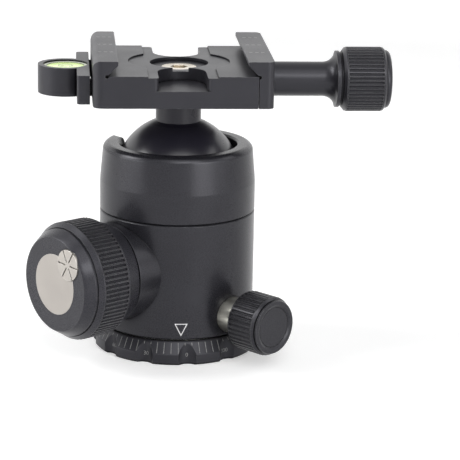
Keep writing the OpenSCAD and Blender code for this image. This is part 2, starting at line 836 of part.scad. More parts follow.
// Springs round the guide pins that push the jaw open
module jaw_springs() {
    color(steel) for (s = [-1, 1]) translate([base_end - spring_pocket, 0, 0])
        along_clamp_screw(s * pin_spread) coil_spring(spring_r, spring_wire, spring_pocket, 5);
}

module clamp_screw() {
    color(steel) translate([bore_end + 0.5, 0, 0])
        along_clamp_screw() cylinder(r = clamp_screw_r, h = knob_x + neck_h + 4 - bore_end - 0.5);
}

module thrust_washer() {
    color(steel) translate([half_w + moving_wall, 0, 0])
        along_clamp_screw() tube(neck_d / 2 - 0.3, clamp_screw_r + fit, washer_thick);
}

module clamp_knob_profile() {
    neck_r = neck_d / 2;
    grip_r = clamp_knob_d / 2;
    flare = neck_h + flare_h;
    grip = flare + collar_h + 0.6;
    difference() {
        polygon([[0, 0], [neck_r - 0.2, 0], [neck_r, 0.2], [neck_r, neck_h], [collar_r, neck_h],
                 [collar_r, flare + collar_h - 0.2], [collar_r - 0.2, flare + collar_h],
                 [collar_r - 0.5, flare + collar_h], [collar_r - 0.5, grip],
                 [collar_r, grip], [grip_r - 0.1, grip + 0.7], [grip_r - 0.1, grip + 1.1],
                 [grip_r - 0.45, grip + 1.1], [grip_r - 0.45, grip + grip_h - 0.9],
                 [grip_r - 0.1, grip + grip_h - 0.9], [grip_r - 0.1, grip + grip_h - 0.5],
                 [grip_r - 0.6, grip + grip_h], [0, grip + grip_h]]);
        translate([neck_r + flare_h, neck_h]) circle(flare_h);
        translate([neck_r + flare_h, neck_h - 3]) square([10, 3 + flare_h]);
    }
}

module clamp_knob() {
    grip = neck_h + flare_h + collar_h + 0.6;
    color(black) translate([knob_x, 0, 0]) along_clamp_screw() difference() {
        union() {
            rotate_extrude() clamp_knob_profile();
            translate([0, 0, grip + 1.1]) fluted_grip(clamp_knob_d / 2, clamp_flutes, grip_h - 2);
        }
        translate([0, 0, -1]) cylinder(r = clamp_screw_r, h = neck_h + 5);
        translate([0, 0, grip + grip_h - 1]) cylinder(r = clamp_knob_d / 2 - 2, h = 3);
    }
}

// Domed end cap pressed into the knob
module clamp_knob_cap() {
    grip_end = neck_h + flare_h + collar_h + 0.6 + grip_h;
    r = clamp_knob_d / 2 - 0.8;
    color(black) translate([knob_x + grip_end, 0, 0]) along_clamp_screw() rotate_extrude() {
        difference() {
            square([r, cap_h - 0.5]);
            translate([r, cap_h - 0.5]) corner_cut(1.2);
        }
        translate([0, -1]) square([clamp_knob_d / 2 - 2, 1 + eps]);
    }
}

// ---------- Bubble level ----------

// Places of the two screws that hold the level's bar; Z points at the jaw
module level_screw_places() {
    for (s = [-1, 1])
        translate([level_x + bar_gap, s * level_screw_y, clamp_z + level_h / 2])
            rotate([0, 90, 0]) children();
}

module level_block() {
    color(black) difference() {
        union() {
            translate([0, 0, clamp_z]) linear_extrude(height = level_h) difference() {
                union() {
                    translate([level_x - level_off, 0]) circle(d = level_d);
                    translate([level_x - bar_t, -bar_len / 2]) square([bar_t, bar_len]);
                }
                translate([level_x, -bar_len]) square([level_d, 2 * bar_len]);
                for (s = [-1, 1]) translate([level_x - bar_t, s * bar_len / 2])
                    mirror([1, 0]) mirror([0, s > 0 ? 0 : 1]) corner_cut(1);
            }
            level_screw_places() translate([0, 0, -bar_gap - 1]) cylinder(r = 2.2, h = bar_gap + 1);
        }
        translate([level_x - level_off, 0, clamp_z + 1]) cylinder(d = vial_d, h = level_h);
        level_screw_places() {
            translate([0, 0, -bar_gap - bar_t - 1]) cylinder(r = 1.05, h = bar_t + 3);
            translate([0, 0, -bar_gap - bar_t - 1]) cylinder(r = 2.2, h = 2.4);
        }
    }
}

module level_screws() {
    head = -bar_gap - bar_t;
    color(steel) level_screw_places() difference() {
        union() {
            translate([0, 0, head + 1.4]) cylinder(r = 1, h = bar_gap + bar_t + 1);
            translate([0, 0, head + 0.1]) cylinder(r = 1.9, h = 1.3);
        }
        translate([0, 0, head - 1]) hex_socket(1.5, 1);
    }
}

// Clear vial: a cup closed by a lens
module level_vial() {
    h = level_h - 1 - vial_sink;
    color([0.85, 0.95, 0.8, 0.4]) translate([level_x - level_off, 0, clamp_z + 1]) difference() {
        cylinder(d = vial_d, h = h);
        translate([0, 0, 1]) cylinder(d = vial_d - 1.6, h = h - 2);
    }
}

// Fluid with its bubble left out
module level_fluid() {
    h = level_h - 1 - vial_sink;
    color([0.7, 0.85, 0.2, 0.6]) translate([level_x - level_off, 0, clamp_z + 1]) difference() {
        translate([0, 0, 1]) cylinder(d = vial_d - 1.6, h = h - 2);
        translate([0, 0, h - 1]) sphere(r = 1.8);
    }
}

pan_base();
keeper_plate();
keeper_screws();
pan_washer();
housing();
collar();
ball_liner();
guide_plate();
main_bushing();
pan_bushing();
wedge();
pressure_plate();
disc_spring();
lower_cup();
main_shaft();
main_knob();
knob_disc();
knob_screw();
drag_wheel();
pan_lock_pad();
pan_screw();
pan_knob();
pan_knob_cap();
ball_stem();
clamp_base();
center_screw();
level_block();
level_screws();
level_vial();
level_fluid();
jaw_springs();
moving_jaw();
guide_pins();
clamp_screw();
thrust_washer();
clamp_knob();
clamp_knob_cap();
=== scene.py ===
"""Looks of the tripod ball head: finishes, printed marks, threads, studio light and camera."""

import json
import math

import bmesh
import bpy
from mathutils import Matrix, Vector


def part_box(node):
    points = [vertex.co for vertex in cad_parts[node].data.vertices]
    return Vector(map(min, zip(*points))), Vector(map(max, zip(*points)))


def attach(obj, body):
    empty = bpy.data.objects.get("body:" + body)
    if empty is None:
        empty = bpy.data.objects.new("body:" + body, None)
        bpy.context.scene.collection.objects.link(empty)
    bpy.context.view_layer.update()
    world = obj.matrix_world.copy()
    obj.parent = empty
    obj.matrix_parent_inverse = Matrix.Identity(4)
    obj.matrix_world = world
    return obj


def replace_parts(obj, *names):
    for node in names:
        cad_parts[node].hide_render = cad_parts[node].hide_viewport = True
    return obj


MM = 0.001

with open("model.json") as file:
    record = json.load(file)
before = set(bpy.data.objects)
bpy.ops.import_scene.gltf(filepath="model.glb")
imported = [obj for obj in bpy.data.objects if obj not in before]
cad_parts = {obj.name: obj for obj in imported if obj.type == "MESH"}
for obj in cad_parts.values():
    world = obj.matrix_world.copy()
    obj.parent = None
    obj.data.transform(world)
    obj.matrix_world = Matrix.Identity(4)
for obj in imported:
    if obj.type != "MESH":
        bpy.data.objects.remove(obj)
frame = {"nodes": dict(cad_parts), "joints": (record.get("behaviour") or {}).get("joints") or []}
nodes = frame["nodes"]
joints = {j["name"]: j for j in frame["joints"]}
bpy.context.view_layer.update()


# ---------- Sizes taken from the frame, in metres ----------

def low(node):
    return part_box(node)[0]


def high(node):
    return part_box(node)[1]


def joint_axis(name):
    return Vector(joints[name]["axis"]).normalized()


def joint_place(name):
    return Vector(joints[name]["pos_m"])


UP = Vector((0, 0, 1))
ALONG_X = Vector((1, 0, 0))

housing_r = high("collar").x
ring_r = high("pan_base").x
main_axis = joint_axis("main_lock")
pan_axis = joint_axis("pan_lock")


# ---------- Material helpers ----------

NOISE_LOW = 0.3         # most values of a noise lie between these two
NOISE_HIGH = 0.7


class Nodes:
    """A short way to build a node material: every call adds a node and links its inputs."""

    def __init__(self, name):
        self.material = bpy.data.materials.new(name)
        self.material.use_nodes = True
        self.tree = self.material.node_tree
        self.tree.nodes.clear()
        self.out = self.tree.nodes.new("ShaderNodeOutputMaterial")

    def add(self, kind, inputs=None, **settings):
        node = self.tree.nodes.new(kind)
        for key, value in settings.items():
            setattr(node, key, value)
        for key, value in (inputs or {}).items():
            if isinstance(value, bpy.types.NodeSocket):
                self.tree.links.new(value, node.inputs[key])
            else:
                node.inputs[key].default_value = value
        return node

    def math(self, operation, a, b=0.0, clamp=False):
        node = self.add("ShaderNodeMath", {0: a, 1: b}, operation=operation, use_clamp=clamp)
        return node.outputs[0]

    def remap(self, value, from_low, from_high, to_low, to_high):
        inputs = {"Value": value, "From Min": from_low, "From Max": from_high,
                  "To Min": to_low, "To Max": to_high}
        return self.add("ShaderNodeMapRange", inputs).outputs[0]

    def rise(self, value, start, end):
        """0 before the start and 1 past the end."""
        return self.remap(value, start, end, 0.0, 1.0)

    def fall(self, value, start, end):
        """1 before the start and 0 past the end."""
        return self.remap(value, start, end, 1.0, 0.0)

    def spread(self, noise, to_low=0.0, to_high=1.0):
        """The usual range of a noise, spread over another range."""
        return self.remap(noise, NOISE_LOW, NOISE_HIGH, to_low, to_high)

    def noise(self, scale, detail=2.0, vector=None, roughness=0.5):
        inputs = {"Scale": scale, "Detail": detail, "Roughness": roughness}
        inputs["Vector"] = vector if vector else self.place()
        return self.add("ShaderNodeTexNoise", inputs).outputs["Fac"]

    def place(self):
        return self.add("ShaderNodeTexCoord").outputs["Object"]

    def mix(self, factor, a, b):
        node = self.add("ShaderNodeMix", {0: factor, 6: a, 7: b}, data_type="RGBA")
        return node.outputs[2]

    def dot(self, a, b):
        node = self.add("ShaderNodeVectorMath", {0: a, 1: b}, operation="DOT_PRODUCT")
        return node.outputs["Value"]

    def edges(self, radius):
        """Soft normals near sharp edges, and a mask that is 1 on the edge itself."""
        soft = self.add("ShaderNodeBevel", {"Radius": radius}, samples=6).outputs[0]
        sharp = self.add("ShaderNodeNewGeometry").outputs["Normal"]
        same = self.dot(soft, sharp)
        return soft, self.rise(same, 0.99, 0.86)

    def unshaded_mask(self, distance):
        """1 on open faces and 0 deep in a groove: the mask for painted shade."""
        unshaded = self.add("ShaderNodeAmbientOcclusion", {"Distance": distance}, samples=6)
        return self.rise(unshaded.outputs["AO"], 0.50, 0.92)

    def bump(self, height, distance, strength=1.0, normal=None):
        inputs = {"Height": height, "Distance": distance, "Strength": strength}
        if normal:
            inputs["Normal"] = normal
        return self.add("ShaderNodeBump", inputs).outputs[0]

    def shader(self, **inputs):
        named = {key.replace("_", " "): value for key, value in inputs.items()}
        bsdf = self.add("ShaderNodeBsdfPrincipled", named)
        self.tree.links.new(bsdf.outputs[0], self.out.inputs["Surface"])
        return self.material


def rgb(red, green, blue):
    return (red, green, blue, 1.0)


def along(n, origin, axis):
    """Distance along an axis, and distance from it, as two values."""
    offset = n.add("ShaderNodeVectorMath", {0: n.place(), 1: origin},
                   operation="SUBTRACT").outputs[0]
    level = n.dot(offset, axis)
    size = n.add("ShaderNodeVectorMath", {0: offset}, operation="LENGTH").outputs["Value"]
    squared = n.math("SUBTRACT", n.math("MULTIPLY", size, size), n.math("MULTIPLY", level, level))
    return level, n.math("SQRT", n.math("MAXIMUM", squared, 0.0))


def line_noise(n, value, scale, detail=3.0):
    """Noise that changes along one value only, as turning marks do."""
    vector = n.add("ShaderNodeCombineXYZ", {"X": value}).outputs[0]
    return n.noise(scale, detail, vector)


# ---------- Materials ----------

BARE_EDGE = 0.30            # grey of an edge whose black is rubbed away
# Painted shade: the near-black colour put deep in grooves and creases.
PAINTED_GROOVE_SHADE = (0.005, 0.005, 0.006)
SHADE_REACH = 0.8 * MM     # how near a wall has to be for painted shade to darken a face
ANODISED_IOR = 1.38
BALL_IOR = 1.54
STEM_START = 11.5 * MM      # the stem's duller finish begins at this height over the ball's centre
STEM_R = 7.0 * MM           # and ends at this distance from its axis
ACRYLIC_IOR = 1.49
LENS_PAINTED_LIGHT = 0.25            # painted light, as emission, of the vial's wall and of its fluid
FLUID_PAINTED_LIGHT = 0.30
FLUID_R = (high("level_fluid").x - low("level_fluid").x) / 2
BUBBLE_R = 1.15 * MM


def anodised(name, tone, roughness, grain=0.3, wear=0.25, even_wear=0.0, edge_r=0.22,
             turned=None):
    """Black anodised aluminium: fine blasted grain, faint clouding and rubbed edges.

    Grooves and creases get painted shade: a darker colour and weaker reflections where walls are
    near. Turned parts name an origin and an axis for their marks.
    """
    n = Nodes(name)
    soft, edge = n.edges(edge_r * MM)
    cloud = n.noise(90.0, 3.0)
    grit = n.noise(5200.0, 2.0)
    rubs = n.remap(n.noise(700.0, 3.0), 0.42, 0.66, even_wear, wear)
    rubbed = n.math("MULTIPLY", edge, rubs, clamp=True)
    dark = rgb(tone * 0.88, tone * 0.86, tone * 1.06)
    light = rgb(tone * 1.12, tone * 1.10, tone * 1.34)
    colour = n.mix(n.spread(cloud), dark, light)
    colour = n.mix(rubbed, colour, rgb(BARE_EDGE, BARE_EDGE, BARE_EDGE))
    unshaded = n.unshaded_mask(SHADE_REACH)
    # Painted shade in grooves and creases, from the ambient occlusion.
    colour = n.mix(unshaded, rgb(*PAINTED_GROOVE_SHADE), colour)
    rough = n.math("ADD", n.spread(cloud, roughness - 0.03, roughness + 0.03),
                   n.spread(grit, -0.04, 0.04))
    normal = n.bump(grit, grain * 0.004 * MM, normal=soft)
    if turned:
        level, radius = along(n, *turned)
        marks = line_noise(n, n.math("ADD", level, radius), 9000.0)
        normal = n.bump(marks, 0.002 * MM, 0.5, normal)
    # The same mask also paints shade into the reflections, so grooves reflect less.
    return n.shader(Base_Color=colour, Roughness=rough, IOR=ANODISED_IOR,
                    Specular_Tint=rgb(0.93, 0.93, 1.0),
                    Specular_IOR_Level=n.remap(unshaded, 0.0, 1.0, 0.03, 0.5), Normal=normal)


def polished_black(name):
    """The ball's hard anodised and polished surface, with a faint haze and a duller stem."""
    n = Nodes(name)
    haze = n.noise(160.0, 4.0)
    grit = n.noise(900.0, 2.0)
    rough = n.math("ADD", n.spread(haze, 0.27, 0.33), n.spread(grit, -0.01, 0.01))
    colour = n.mix(n.spread(haze), rgb(0.010, 0.009, 0.015), rgb(0.013, 0.012, 0.018))
    level, radius = along(n, joint_place("tilt"), UP)
    stem = n.math("MULTIPLY", n.rise(level, STEM_START, STEM_START + 1.0 * MM),
                  n.fall(radius, STEM_R, STEM_R + 0.5 * MM))
    return n.shader(Base_Color=colour, Roughness=rough, IOR=BALL_IOR,
                    Specular_IOR_Level=n.remap(stem, 0.0, 1.0, 0.5, 0.24),
                    Normal=n.bump(grit, 0.0002 * MM))


def turned_metal(name, colour, roughness, origin, axis, across=False):
    """Bright turned metal whose marks run round an axis."""
    n = Nodes(name)
    soft, edge = n.edges(0.15 * MM)
    level, radius = along(n, origin, axis)
    marks = line_noise(n, radius if across else n.math("ADD", level, radius), 7000.0)
    patches = n.noise(260.0, 3.0)
    shade = n.math("ADD", n.spread(marks, -0.10, 0.10), n.spread(patches, -0.06, 0.06))
    dark = rgb(*(0.80 * c for c in colour))
    light = rgb(*(min(1.0, 1.12 * c) for c in colour))
    tint = n.mix(n.math("ADD", shade, 0.5, clamp=True), dark, light)
    rough = n.math("ADD", n.spread(marks, roughness - 0.05, roughness + 0.07),
                   n.math("MULTIPLY", edge, -0.06))
    return n.shader(Base_Color=tint, Metallic=1.0, Roughness=rough,
                    Normal=n.bump(marks, 0.0016 * MM, 0.6, soft))


def satin_metal(name, colour, roughness):
    """Blasted and clear anodised aluminium, as on the knob's disc."""
    n = Nodes(name)
    soft, edge = n.edges(0.12 * MM)
    grit = n.noise(4200.0, 2.0)
    cloud = n.noise(120.0, 3.0)
    dark = rgb(*(0.92 * c for c in colour))
    tint = n.mix(n.spread(cloud), dark, rgb(*colour))
    tint = n.mix(n.math("MULTIPLY", edge, 0.5), tint, rgb(0.9, 0.89, 0.86))
    rough = n.math("ADD", n.spread(grit, roughness - 0.05, roughness + 0.05),
                   n.spread(cloud, -0.03, 0.03))
    return n.shader(Base_Color=tint, Metallic=0.75, Roughness=rough,
                    Normal=n.bump(grit, 0.0012 * MM, normal=soft))


def moulded(name, colour, roughness):
    """Moulded plastic with a fine spark-eroded grain."""
    n = Nodes(name)
    grit = n.noise(3000.0, 3.0)
    cloud = n.noise(200.0, 2.0)
    dark = rgb(*(0.9 * c for c in colour))
    tint = n.mix(n.spread(cloud), dark, rgb(*colour))
    rough = n.spread(grit, roughness - 0.06, roughness + 0.06)
    return n.shader(Base_Color=tint, Roughness=rough, Normal=n.bump(grit, 0.002 * MM))


def print_ink(name, colour, cover=0.85):
    """Laser marking or pad print, slightly uneven."""
    n = Nodes(name)
    patchy = n.noise(2500.0, 3.0)
    faint = rgb(*(cover * c for c in colour))
    tint = n.mix(n.rise(patchy, 0.35, 0.65), faint, rgb(*colour))
    return n.shader(Base_Color=tint, Roughness=n.spread(patchy, 0.5, 0.65),
                    Normal=n.bump(patchy, 0.001 * MM))


def clear_plastic(name, wall_start):
    """The vial's clear lens: see-through over the fluid; it has painted light, strongest on its
    wall.
    """
    n = Nodes(name)
    scuffs = n.noise(1800.0, 4.0)
    _, radius = along(n, (high("level_vial") + low("level_vial")) / 2, UP)
    wall = n.rise(radius, wall_start - 0.15 * MM, wall_start + 0.10 * MM)
    tint = n.mix(n.spread(scuffs), rgb(0.80, 0.84, 0.70), rgb(0.86, 0.89, 0.77))
    # Painted light: the lens glows, most where its nearly opaque wall is.
    return n.shader(Base_Color=tint, Roughness=n.remap(scuffs, 0.5, 0.75, 0.05, 0.14),
                    IOR=ACRYLIC_IOR, Emission_Color=tint, Emission_Strength=LENS_PAINTED_LIGHT,
                    Alpha=n.remap(wall, 0.0, 1.0, 0.05, 0.95),
                    Normal=n.bump(scuffs, 0.0006 * MM))


def vial_fluid(name, bubble_r):
    """Yellow-green fluid with painted light, painted shade towards the wall, and a painted
    highlight and dark ring at its bubble.
    """
    n = Nodes(name)
    _, radius = along(n, (high("level_fluid") + low("level_fluid")) / 2, UP)
    swirl = n.noise(420.0, 2.0)
    # Painted highlight inside the bubble, and a painted dark ring at its edge.
    inside = n.fall(radius, bubble_r - 0.10 * MM, bubble_r)
    rim = n.math("MULTIPLY", n.rise(radius, bubble_r - 0.22 * MM, bubble_r - 0.05 * MM),
                 n.fall(radius, bubble_r, bubble_r + 0.12 * MM))
    # Painted shade: the fluid grows darker towards the vial's wall.
    depth = n.rise(radius, bubble_r, 2.4 * bubble_r)
    tint = n.mix(depth, rgb(0.70, 0.88, 0.42), rgb(0.64, 0.84, 0.32))
    tint = n.mix(n.remap(swirl, 0.35, 0.7, 0.0, 0.35), tint, rgb(0.86, 0.95, 0.46))
    tint = n.mix(n.math("MULTIPLY", inside, 0.7), tint, rgb(0.92, 0.97, 0.66))
    tint = n.mix(n.math("MULTIPLY", rim, 0.6), tint, rgb(0.24, 0.32, 0.06))
    # Painted light: the fluid glows though it is no lamp.
    return n.shader(Base_Color=tint, Roughness=n.spread(swirl, 0.12, 0.2),
                    Emission_Color=tint, Emission_Strength=FLUID_PAINTED_LIGHT,
                    Normal=n.bump(swirl, 0.002 * MM))


body_black = anodised("body_black", 0.013, 0.28)
clamp_black = anodised("clamp_black", 0.014, 0.38, grain=0.9, wear=0.35)
ring_black = anodised("ring_black", 0.015, 0.40, wear=0.35)
main_knob_black = anodised("main_knob_black", 0.018, 0.28, wear=0.6, even_wear=0.40,
                           edge_r=0.12, turned=(joint_place("main_lock"), main_axis))
pan_knob_black = anodised("pan_knob_black", 0.013, 0.28, wear=0.5, even_wear=0.30,
                          edge_r=0.12, turned=(joint_place("pan_lock"), pan_axis))
clamp_knob_black = anodised("clamp_knob_black", 0.014, 0.32, wear=0.7, even_wear=0.5,
                            edge_r=0.12, turned=(joint_place("clamp_lock"), ALONG_X))
screw_black = anodised("screw_black", 0.020, 0.36)
ball_black = polished_black("ball_black")
bright_disc = satin_metal("bright_disc", (0.36, 0.335, 0.31), 0.40)
bright_wheel = satin_metal("bright_wheel", (0.40, 0.375, 0.345), 0.34)
clamp_screw_steel = turned_metal("clamp_screw_steel", (0.78, 0.72, 0.62), 0.30,
                                 joint_place("spin"), UP, across=True)
pan_steel = turned_metal("pan_steel", (0.66, 0.65, 0.58), 0.30,
                         joint_place("pan_lock"), pan_axis)
main_steel = turned_metal("main_steel", (0.62, 0.62, 0.60), 0.30,
                          joint_place("main_lock"), main_axis)
clamp_steel = turned_metal("clamp_steel", (0.62, 0.62, 0.60), 0.28,
                           joint_place("clamp_lock"), ALONG_X)
base_steel = turned_metal("base_steel", (0.60, 0.60, 0.58), 0.32, Vector((0, 0, 0)), UP)
main_brass = turned_metal("main_brass", (0.76, 0.58, 0.26), 0.30,
                          joint_place("main_lock"), main_axis)
pan_brass = turned_metal("pan_brass", (0.76, 0.58, 0.26), 0.30,
                         joint_place("pan_lock"), pan_axis)
white_acetal = moulded("white_acetal", (0.80, 0.79, 0.74), 0.45)
black_liner = moulded("black_liner", (0.02, 0.02, 0.02), 0.5)
white_print = print_ink("white_print", (0.80, 0.80, 0.80))
grey_print = print_ink("grey_print", (0.22, 0.22, 0.22), 0.6)
faint_print = print_ink("faint_print", (0.40, 0.40, 0.38), 0.8)
lens = clear_plastic("lens", FLUID_R)
fluid = vial_fluid("fluid", BUBBLE_R)

FINISHES = {
    "pan_base": ring_black, "keeper_plate": base_steel, "keeper_screws": base_steel,
    "pan_washer": white_acetal, "housing": body_black, "collar": body_black,
    "ball_liner": black_liner, "guide_plate": base_steel, "main_bushing": main_brass,
    "pan_bushing": pan_steel, "wedge": main_brass, "pressure_plate": base_steel,
    "disc_spring": base_steel, "lower_cup": white_acetal, "main_shaft": main_steel,
    "main_knob": main_knob_black, "knob_disc": bright_disc, "knob_screw": main_steel,
    "drag_wheel": bright_wheel, "pan_lock_pad": pan_brass, "pan_screw": pan_steel,
    "pan_knob": pan_knob_black, "pan_knob_cap": pan_knob_black, "ball_stem": ball_black,
    "clamp_base": clamp_black, "center_screw": clamp_screw_steel, "level_block": clamp_black,
    "level_screws": screw_black, "level_vial": lens, "level_fluid": fluid,
    "jaw_springs": clamp_steel, "moving_jaw": clamp_black, "guide_pins": clamp_steel,
    "clamp_screw": clamp_steel, "thrust_washer": clamp_steel, "clamp_knob": clamp_knob_black,
    "clamp_knob_cap": clamp_knob_black,
}

for name, material in FINISHES.items():
    mesh = nodes[name].data
    mesh.materials.clear()
    mesh.materials.append(material)


# ---------- Mesh helpers ----------

WELD = 1e-7             # points nearer than this are one point


def piece(name, mesh, material, body):
    """A new object of the scene that rides on a body."""
    thing = bpy.data.objects.new(name, mesh)
    bpy.context.scene.collection.objects.link(thing)
    mesh.materials.append(material)
    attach(thing, body)
    return thing


def close_mesh(bm, name, outward=True):
    """Turns a bmesh into a mesh, with its faces turned outward unless told not to."""
    if outward:
        bmesh.ops.recalc_face_normals(bm, faces=bm.faces)
    mesh = bpy.data.meshes.new(name)
    bm.to_mesh(mesh)
    bm.free()
    return mesh


def add_block(bm, quad, surface, bottom, top):
    """A thin block between two lifts over a surface, from four (u, v) corners."""
    lower = [bm.verts.new(surface(u, v, bottom)) for u, v in quad]
    upper = [bm.verts.new(surface(u, v, top)) for u, v in quad]
    bm.faces.new(upper)
    bm.faces.new(lower[::-1])
    for i in range(4):
        j = (i + 1) % 4
        bm.faces.new((lower[i], lower[j], upper[j], upper[i]))


def strip_mesh(name, strips, surface, thickness):
    """Thin closed strips laid on a surface. Each strip is a list of (u, v) corner quads."""
    bm = bmesh.new()
    for strip in strips:
        for quad in strip:
            add_block(bm, quad, surface, 0.0, thickness)
    bmesh.ops.remove_doubles(bm, verts=bm.verts, dist=WELD)
    return close_mesh(bm, name, outward=False)


def add_bands(bm, loops, closed):
    """Faces between neighbouring loops of vertices; the last joins the first if closed."""
    pairs = zip(loops, loops[1:] + loops[:1]) if closed else zip(loops, loops[1:])
    for a, b in pairs:
        for i in range(len(a)):
            j = (i + 1) % len(a)
            bm.faces.new((a[i], a[j], b[j], b[i]))


def line_quads(start, end, width, steps):
    """Quads of one straight line of the given width, in (u, v)."""
    start, end = Vector(start), Vector(end)
    side = (end - start).normalized().orthogonal() * width / 2
    points = [start.lerp(end, i / steps) for i in range(steps + 1)]
    return [[a - side, b - side, b + side, a + side] for a, b in zip(points, points[1:])]


# ---------- Degree ring ----------

RING_FOOT = 2.8 * MM
RING_TOP = low("pan_washer").z - 0.3 * MM
PRINT = 0.02 * MM
TICK_STEP = 5               # degrees, as the next one
FIRST_TICK = -1.3
TICK_WIDTH = 0.0075         # radians
TICK_FOOT = 3.1 * MM
TICK_FOOT_OVER_SCALLOP = 5.0 * MM
SCALLOPS = 12
FIRST_SCALLOP = 275         # degrees
SCALLOP_HALF = math.radians(6.0)
SCALLOP_R = 2.7 * MM
SCALLOP_WALL = 20.05 * MM   # distance of a scallop's deepest line from the panning axis
NUMBER_SIZE = 1.5 * MM
NUMBER_LIFT = 0.015 * MM    # how far the numbers stand out of the wall
NUMBER_HEIGHT = 2.4 * MM    # height of their middle


def ring_surface(angle, height, lift):
    """A point on the ring's cone, at an angle and a height."""
    slope = (height - RING_FOOT) / (RING_TOP - RING_FOOT)
    radius = ring_r + (housing_r - 0.1 * MM - ring_r) * slope + lift
    return Vector((radius * math.cos(angle), radius * math.sin(angle), height))


def make_ticks():
    """A line every five degrees, shorter where a scallop takes the ring away."""
    between = 2 * math.pi / SCALLOPS
    strips = []
    for step in range(360 // TICK_STEP):
        angle = math.radians(TICK_STEP * step + FIRST_TICK)
        turn = (angle - math.radians(FIRST_SCALLOP)) % between
        over_scallop = min(turn, between - turn) <= SCALLOP_HALF
        foot = TICK_FOOT_OVER_SCALLOP if over_scallop else TICK_FOOT
        strips.append(line_quads((angle, foot), (angle, RING_TOP - 0.1 * MM), TICK_WIDTH, 4))
    mesh = strip_mesh("ring_ticks", strips, ring_surface, PRINT)
    piece("ring_ticks", mesh, grey_print, "base")


make_ticks()


# ---------- Index mark on the housing ----------

INDEX_ANGLE = math.radians(270.6)
INDEX_HALF = 1.68 * MM      # half of the triangle's width
INDEX_TOP = 10.7 * MM
INDEX_TIP = 7.4 * MM
INDEX_INNER = 0.80          # size of the open middle, as a share of the whole
INDEX_STEPS = 8             # pieces of each side, so that it follows the round housing


def housing_surface(angle, height, lift):
    radius = housing_r + lift
    return Vector((radius * math.cos(angle), radius * math.sin(angle), height))


def make_index_mark():
    """Outline of a triangle that points down at the ring."""
    half = INDEX_HALF / housing_r
    outer = [Vector((INDEX_ANGLE - half, INDEX_TOP)), Vector((INDEX_ANGLE + half, INDEX_TOP)),
             Vector((INDEX_ANGLE, INDEX_TIP))]
    middle = Vector((INDEX_ANGLE, (2 * INDEX_TOP + INDEX_TIP) / 3))
    inner = [middle + (corner - middle) * INDEX_INNER for corner in outer]
    bm = bmesh.new()
    for i in range(3):
        j = (i + 1) % 3
        for k in range(INDEX_STEPS):
            a, b = k / INDEX_STEPS, (k + 1) / INDEX_STEPS
            quad = [outer[i].lerp(outer[j], a), outer[i].lerp(outer[j], b),
                    inner[i].lerp(inner[j], b), inner[i].lerp(inner[j], a)]
            add_block(bm, quad, housing_surface, -PRINT, PRINT)
    bmesh.ops.remove_doubles(bm, verts=bm.verts, dist=WELD)
    piece("index_mark", close_mesh(bm, "index_mark"), white_print, "housing_body")


make_index_mark()


# ---------- Numbers on the ring ----------

def number_mesh(text, size, thickness):
    """A closed mesh of a number, centred, in the built-in font."""
    curve = bpy.data.curves.new("number", "FONT")
    curve.body = text
    curve.size = size
    curve.align_x = "CENTER"
    curve.align_y = "CENTER"
    curve.resolution_u = 3
    curve.extrude = thickness
    holder = bpy.data.objects.new("number", curve)
    bpy.context.scene.collection.objects.link(holder)
    depsgraph = bpy.context.evaluated_depsgraph_get()
    mesh = bpy.data.meshes.new_from_object(holder.evaluated_get(depsgraph))
    bpy.data.objects.remove(holder)
    bpy.data.curves.remove(curve)
    mesh.materials.clear()
    return mesh


def make_numbers():
    """Plain degrees on the hollow wall of each scallop, curved to it."""
    merged = bmesh.new()
    between = 360 // SCALLOPS
    for i in range(SCALLOPS):
        angle = math.radians(FIRST_SCALLOP - between * i)
        mesh = number_mesh(str(between * i), NUMBER_SIZE, NUMBER_LIFT)
        outward = Vector((math.cos(angle), math.sin(angle), 0.0))
        side = Vector((-math.sin(angle), math.cos(angle), 0.0))
        centre = outward * (SCALLOP_WALL + SCALLOP_R)
        for vertex in mesh.vertices:
            turn = vertex.co.x / SCALLOP_R
            reach = SCALLOP_R - vertex.co.z
            across = side * math.sin(turn) * reach
            rise = Vector((0, 0, vertex.co.y + NUMBER_HEIGHT))
            vertex.co = centre - outward * math.cos(turn) * reach + across + rise
        merged.from_mesh(mesh)
        bpy.data.meshes.remove(mesh)
    mesh = close_mesh(merged, "ring_numbers", outward=False)
    piece("ring_numbers", mesh, grey_print, "base")


make_numbers()


# ---------- Threads ----------

CLAMP_PITCH = 0.8 * MM
V_THREAD = [(0.0, 0.0), (0.12, 0.0), (0.5, 0.58), (0.62, 0.58)]     # (place, depth) in pitches
THREAD_SIDES = 40
TRIPOD_PITCH = 25.4 / 16 * MM       # the 3/8 inch tripod thread has 16 turns to the inch
TRIPOD_THREAD_R = 4.85 * MM
RIDGE_DEPTH = 0.8 * MM
RIDGE_START = 0.9 * MM
RIDGE_END = 10.0 * MM
RIDGE = [(0.06, -0.45), (-1.0, -0.08), (-1.0, 0.08), (0.06, 0.45)]  # (depths outward, pitches up)
RIDGE_STEPS = 48                    # in one turn


def frame_of(axis):
    """Two directions square to an axis."""
    first = axis.orthogonal().normalized()
    return first, axis.cross(first)


